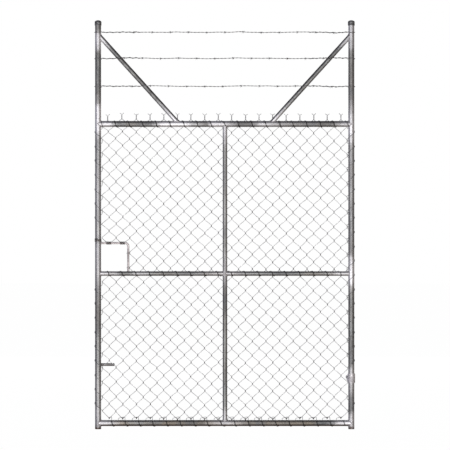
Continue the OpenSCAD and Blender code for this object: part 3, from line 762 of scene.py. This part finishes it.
STRAND_WIRE_R = 1.2 * MM
STRAND_R = 2.4 * MM                     # over both twisted wires
TWIST_PITCH = 42 * MM
WRAP_TURNS = 0.75                       # round each stile
WRAP_STEP = 5.2 * MM
SLOW_KINK = 2.6 * MM
QUICK_KINK = 1.2 * MM
KINK_OUT = 1.2 * MM
TAIL_LENGTH = 215 * MM
TAIL_PITCH = 36 * MM
TAIL_START = 22 * MM                    # from the stile's axis
TAIL_WIRE_R = 1.5 * MM
TAIL_RISE = 2.4 * MM                    # how far a tail winds above and below its strand
BARB_WIRE_R = 1.0 * MM
BARB_SPIKE = 11.5 * MM
BARB_TILT = 32                          # degrees from upright
BARB_COUNT = 12
BARB_PITCH = 100.5 * MM
STRANDS = (                             # name, height, first barb from the latch stile, way the ends wind
    ("top", 2200 * MM, 201 * MM, 1),
    ("middle", 2056 * MM, 146 * MM, -1),
    ("bottom", 1901 * MM, 190 * MM, -1))
STRAND_Y = -(HEAVY_R + STRAND_R + 0.2 * MM)


def strand_line(z, seed, x):
    """The strand's middle at x: nearly straight, with slow kinks that die away at the stiles."""
    ends = min(1, min(-x, x - LATCH_X) / (60 * MM))
    slow = SLOW_KINK * noise.noise(Vector((x * 5.5, seed, 0)))
    quick = QUICK_KINK * noise.noise(Vector((x * 17, seed, 5)))
    out = KINK_OUT * noise.noise(Vector((x * 9, seed, 11)))
    return place(x, STRAND_Y - abs(out), z + 1.6 * (slow + quick) * max(0, ends))


def strand_path(z, seed, way):
    """The strand's middle line with both ends wound round the stiles."""
    wraps = []
    steps = 20
    for i in range(round(WRAP_TURNS * steps) + 1):
        t = 2 * math.pi * i / steps
        wraps.append((-math.sin(t) * STRAND_Y, math.cos(t) * STRAND_Y, z + way * WRAP_STEP * i / steps))
    latch_end = [place(LATCH_X - x, y, up) for x, y, up in reversed(wraps)]
    hinge_end = [place(x, y, up) for x, y, up in wraps]
    count = 260
    span = [strand_line(z, seed, LATCH_X - LATCH_X * i / count) for i in range(1, count)]
    return latch_end + span + hinge_end


def twisted_pair(mesh, path):
    """Two wires twisted round a middle line."""
    last = len(path) - 1
    lengths = [0.0]
    for a, b in zip(path, path[1:]):
        lengths.append(lengths[-1] + (b - a).length)
    for phase in (0, math.pi):
        line = []
        normal = Vector((0, 0, 1))
        for i, point in enumerate(path):
            along = (path[min(i + 1, last)] - path[max(i - 1, 0)]).normalized()
            normal = (normal - along * normal.dot(along)).normalized()
            across = along.cross(normal)
            t = phase + 2 * math.pi * lengths[i] / TWIST_PITCH
            line.append(point + STRAND_WIRE_R * (math.cos(t) * normal + math.sin(t) * across))
        sweep(mesh, line, STRAND_WIRE_R, 7)


def tail(mesh, z, seed, x0, way):
    """The strand's end, brought back from the stile and wound openly round the strand."""
    def radius(i):
        return TAIL_WIRE_R * (0.85 + 0.9 * max(0, noise.noise(Vector((i * 0.13, seed, x0)))))

    path = []
    steps = 12
    turns = TAIL_LENGTH / TAIL_PITCH
    for i in range(round(turns * steps) + 1):
        along = i / steps * TAIL_PITCH
        t = 2 * math.pi * i / steps
        loose = (4.2 + 0.8 * math.sin(i * 0.7 + seed)) * MM
        offset = Vector((0, -abs(loose * math.cos(t)) + TAIL_WIRE_R, TAIL_RISE * math.sin(t)))
        path.append(strand_line(z, seed, x0 + way * (TAIL_START + along)) + offset)
    sweep(mesh, path, radius, 7)


def barb(mesh, centre, lean):
    """Two short wires, each wound twice round the strand, with four sharp ends."""
    along = Vector((1, 0, 0))
    for side in (-1, 1):
        ring_r = STRAND_R + BARB_WIRE_R
        tilt = math.radians(side * BARB_TILT + lean)
        spike = Vector((math.sin(tilt), 0, math.cos(tilt))) * BARB_SPIKE
        core = []
        for i in range(23):
            t = 2 * math.pi * i / 12
            out = Vector((0, side * math.cos(t), math.sin(t))) * ring_r
            core.append(centre + along * (side * 1.4 + (i / 11 - 1) * 1.7) * MM + out)
        path = [core[0] - spike] + core + [core[-1] + spike]
        sweep(mesh, path, BARB_WIRE_R, 6, (0.15, 0.15))


def string_barbs():
    """Strings the three barbed strands with their wound-back ends and their barbs."""
    random.seed(23)
    for seed, (name, z, first, way) in enumerate(STRANDS):
        mesh = bmesh.new()
        twisted_pair(mesh, strand_path(z, seed * 7.3, way))
        piece("barbed_strand_" + name, mesh, strand_finish, [name + "_strand"])
        mesh = bmesh.new()
        tail(mesh, z, seed * 7.3, 0, -1)
        tail(mesh, z, seed * 7.3, LATCH_X, 1)
        piece("strand_tails_" + name, mesh, tail_finish)
        mesh = bmesh.new()
        for k in range(BARB_COUNT):
            x = LATCH_X + first + k * BARB_PITCH
            barb(mesh, strand_line(z, seed * 7.3, x), random.uniform(-16, 16))
        piece("barb_points_" + name, mesh, strand_finish, [name + "_barbs"])


# ---- welds ----


def seam(point, way, radius, main_point, main_way, main_radius, count=48):
    """The line where a branch tube meets a main tube; way points from the branch into the main tube."""
    side = way.cross(main_way).normalized()
    other = way.cross(side).normalized()
    line = []
    for i in range(count):
        t = 2 * math.pi * i / count
        start = point + radius * (math.cos(t) * side + math.sin(t) * other)
        offset = start - main_point
        across = offset - main_way * offset.dot(main_way)
        heading = way - main_way * way.dot(main_way)
        a = heading.dot(heading)
        b = across.dot(heading)
        c = across.dot(across) - main_radius ** 2
        root = math.sqrt(max(0, b * b - a * c))
        line.append(start + way * ((-b - root) / a))
    return line


def weld(mesh, point, way, radius, main_point, main_way, main_radius, size_mm=2.3):
    """Lays an uneven bead where a branch tube meets a main tube."""
    line = seam(point, way, radius * 1.02, main_point, main_way, main_radius * 1.01)
    phase = random.uniform(0, 6)

    def bead(i):
        return (size_mm + 0.45 * math.sin(i * 1.9 + phase) + random.uniform(0, 0.5)) * MM

    ring_sweep(mesh, line, bead)


def weld_rails():
    mesh = bmesh.new()
    up = Vector((0, 0, 1))
    for z, r in ((TOP_RAIL_Z, HEAVY_R), (MID_RAIL_Z, LIGHT_R), (BOTTOM_RAIL_Z, HEAVY_R)):
        for x, way in ((0, 1), (LATCH_X, -1)):
            weld(mesh, place(CENTRE_X, 0, z), Vector((way, 0, 0)), r, place(x, 0, z), up, HEAVY_R)
    piece("rail_welds", mesh, weld_finish)


def weld_mullions():
    mesh = bmesh.new()
    along = Vector((1, 0, 0))
    ends = ((MID_RAIL_Z, 1, TOP_RAIL_Z, HEAVY_R), (TOP_RAIL_Z, -1, MID_RAIL_Z, LIGHT_R),
            (BOTTOM_RAIL_Z, 1, MID_RAIL_Z, LIGHT_R), (MID_RAIL_Z, -1, BOTTOM_RAIL_Z, HEAVY_R))
    for from_z, way, z, r in ends:
        weld(mesh, place(MULLION_X, 0, from_z), Vector((0, 0, way)), LIGHT_R, place(0, 0, z), along, r)
    piece("mullion_welds", mesh, weld_finish)


def weld_braces():
    mesh = bmesh.new()
    for side in (1, -1):
        top, foot = brace_ends(side)
        half = (top + foot) / 2
        way = (top - foot).normalized()
        weld(mesh, half, way, LIGHT_R, top, Vector((0, 0, 1)), HEAVY_R)
        weld(mesh, half, -way, LIGHT_R, foot, Vector((1, 0, 0)), HEAVY_R)
    piece("brace_welds", mesh, weld_finish)


def weld_fittings():
    """Small welds of the hand hole's rod, the hinge lug and the bolt's guides."""
    mesh = bmesh.new()
    weld(mesh, place(LATCH_X + 90 * MM, ROD_Y, ROD_Z), Vector((-1, 0, 0)), ROD_R,
         place(LATCH_X, 0, ROD_Z), Vector((0, 0, 1)), HEAVY_R, 1.6)
    weld(mesh, place(ROD_X, ROD_Y, ROD_Z - 60 * MM), Vector((0, 0, -1)), ROD_R,
         place(ROD_X, 0, MID_RAIL_Z), Vector((1, 0, 0)), LIGHT_R, 1.6)
    # each lug's node, its stile's place and half its thickness in mm
    lugs = (("upper_hinge_eye", 0, 7), ("upper_bolt_guide", LATCH_X, 5), ("lower_bolt_guide", LATCH_X, 5))
    for node, x, half_t in lugs:
        low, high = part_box(node)
        for side in (-1, 1):
            dx = side * (half_t + 0.6) * MM
            y = math.sqrt(HEAVY_R ** 2 - dx ** 2) + 0.4 * MM
            steps = 14
            foot = Vector((HINGE.x + x + dx, HINGE.y + y, low.z))
            rise = Vector((0, 0, (high.z - low.z) / steps))
            path = [foot + rise * i for i in range(steps + 1)]
            sweep(mesh, path, lambda i: (2.0 + 0.5 * math.sin(i * 2.3)) * MM, 8, (0.5, 0.5))
    piece("fitting_welds", mesh, weld_finish)


# ---- stage ----


WARM_SIDE = colour(0.80, 0.69, 0.60)    # light from the lower right
COOL_SIDE = colour(0.84, 0.85, 1.08)    # light from the upper left


def set_world():
    """A white backdrop, and a dim two-tone room that lights the leaf."""
    scene = bpy.context.scene
    scene.view_settings.view_transform = "Standard"
    world = bpy.data.worlds.new("studio")
    scene.world = world
    world.use_nodes = True
    tree = world.node_tree
    tree.nodes.clear()
    seen = add(tree, "LightPath").outputs["Is Camera Ray"]
    plain = add(tree, "Background", {"Color": colour(1, 1, 1), "Strength": 1.0})
    way = add(tree, "TexCoord").outputs["Generated"]
    cool = add(tree, "VectorMath", {0: way, 1: (-0.75, 0.0, 0.65)}, operation="DOT_PRODUCT").outputs["Value"]
    height = add(tree, "SeparateXYZ", {"Vector": way}).outputs["Z"]
    tint = mix(tree, remap(tree, cool, -0.7, 0.7), WARM_SIDE, COOL_SIDE)
    strength = remap(tree, height, -0.8, 0.8, 0.30, 0.16)
    room = add(tree, "Background", {"Color": tint, "Strength": strength})
    both = add(tree, "MixShader", {0: seen, 1: room.outputs[0], 2: plain.outputs[0]})
    out = add(tree, "OutputWorld")
    tree.links.new(both.outputs[0], out.inputs["Surface"])


FLOOR_HALF = 30
FLOOR_GAP = 2 * MM                      # below the stiles' feet


def lay_floor():
    """A pale floor that neither shades nor lights the leaf."""
    floor_mesh = bmesh.new()
    corners = []
    for x, y in ((-1, -1), (1, -1), (1, 1), (-1, 1)):
        corners.append(floor_mesh.verts.new((x * FLOOR_HALF, y * FLOOR_HALF, HINGE.z - FLOOR_GAP)))
    floor_mesh.faces.new(corners)
    data = bpy.data.meshes.new("floor")
    floor_mesh.to_mesh(data)
    floor_mesh.free()
    floor = bpy.data.objects.new("floor", data)
    bpy.context.scene.collection.objects.link(floor)
    floor.visible_glossy = False
    floor.visible_diffuse = False
    floor.visible_shadow = False
    pale = bpy.data.materials.new("pale_floor")
    pale.use_nodes = True
    shader = pale.node_tree.nodes["Principled BSDF"]
    shader.inputs["Base Color"].default_value = colour(0.02, 0.02, 0.02)
    shader.inputs["Roughness"].default_value = 0.9
    shader.inputs["Specular IOR Level"].default_value = 0.0
    shader.inputs["Emission Color"].default_value = colour(1, 1, 1)
    shader.inputs["Emission Strength"].default_value = 0.99
    data.materials.append(pale)


def area_light(name, at, aim, width, height, radiance):
    """A soft area light whose brightness is given as its surface's radiance."""
    light = bpy.data.lights.new(name, "AREA")
    light.shape = "RECTANGLE"
    light.size = width
    light.size_y = height
    light.energy = radiance * math.pi * width * height
    made = bpy.data.objects.new(name, light)
    bpy.context.scene.collection.objects.link(made)
    made.location = at
    made.rotation_euler = (aim - at).to_track_quat("-Z", "Y").to_euler()
    made.visible_camera = False


LIGHTS_AIM_Z = 1.2
LIGHTS = (                              # name, place from the aim, width, height, radiance
    ("key", (-0.6, -6.5, -0.7), 9, 6.5, 2.0),
    ("back", (0, 6.5, 0.2), 5, 5, 1.9),
    ("back_left", (-4.5, 6.0, 3.0), 3, 3, 1.2),
    ("back_right", (4.5, 6.0, 3.0), 3, 3, 1.2))


def set_lights():
    """A wide light in front of the leaf and three behind it."""
    aim = place(CENTRE_X, 0, LIGHTS_AIM_Z)
    for name, offset, width, height, radiance in LIGHTS:
        area_light(name, aim + Vector(offset), aim, width, height, radiance)


CAMERA_DISTANCE = 12.0
CAMERA_Z = 1.132
CAMERA_ASIDE = 1.7 * MM


def set_camera():
    """Level, square on, as far off as the view's faint perspective shows."""
    lens = bpy.data.cameras.new("camera")
    lens.sensor_width = 36
    lens.lens = 173
    lens.clip_end = 100
    made = bpy.data.objects.new("camera", lens)
    bpy.context.scene.collection.objects.link(made)
    made.location = place(CENTRE_X + CAMERA_ASIDE, -CAMERA_DISTANCE, CAMERA_Z)
    made.rotation_euler = (math.radians(90), 0, 0)
    bpy.context.scene.camera = made


set_camera()
set_world()
lay_floor()
set_lights()
finish_tubes()
for cap in ("hinge_stile_cap", "latch_stile_cap"):
    finish_node(cap, cap_finish)
for pintle in ("lower_pintle", "upper_pintle"):
    finish_node(pintle, pintle_finish)
for hinge in ("lower_hinge_band", "upper_hinge_eye"):
    finish_node(hinge, band_finish)
for fastener in ("hinge_band_bolt", "hinge_band_nut"):
    finish_node(fastener, bolt_finish)
for guide in ("upper_bolt_guide", "lower_bolt_guide"):
    finish_node(guide, guide_finish)
finish_node("hand_hole_frame", bar_finish)
finish_node("drop_bolt", drop_bolt_finish)
weave()
lace_all()
tie_hand_hole()
string_barbs()
weld_rails()
weld_mullions()
weld_braces()
weld_fittings()
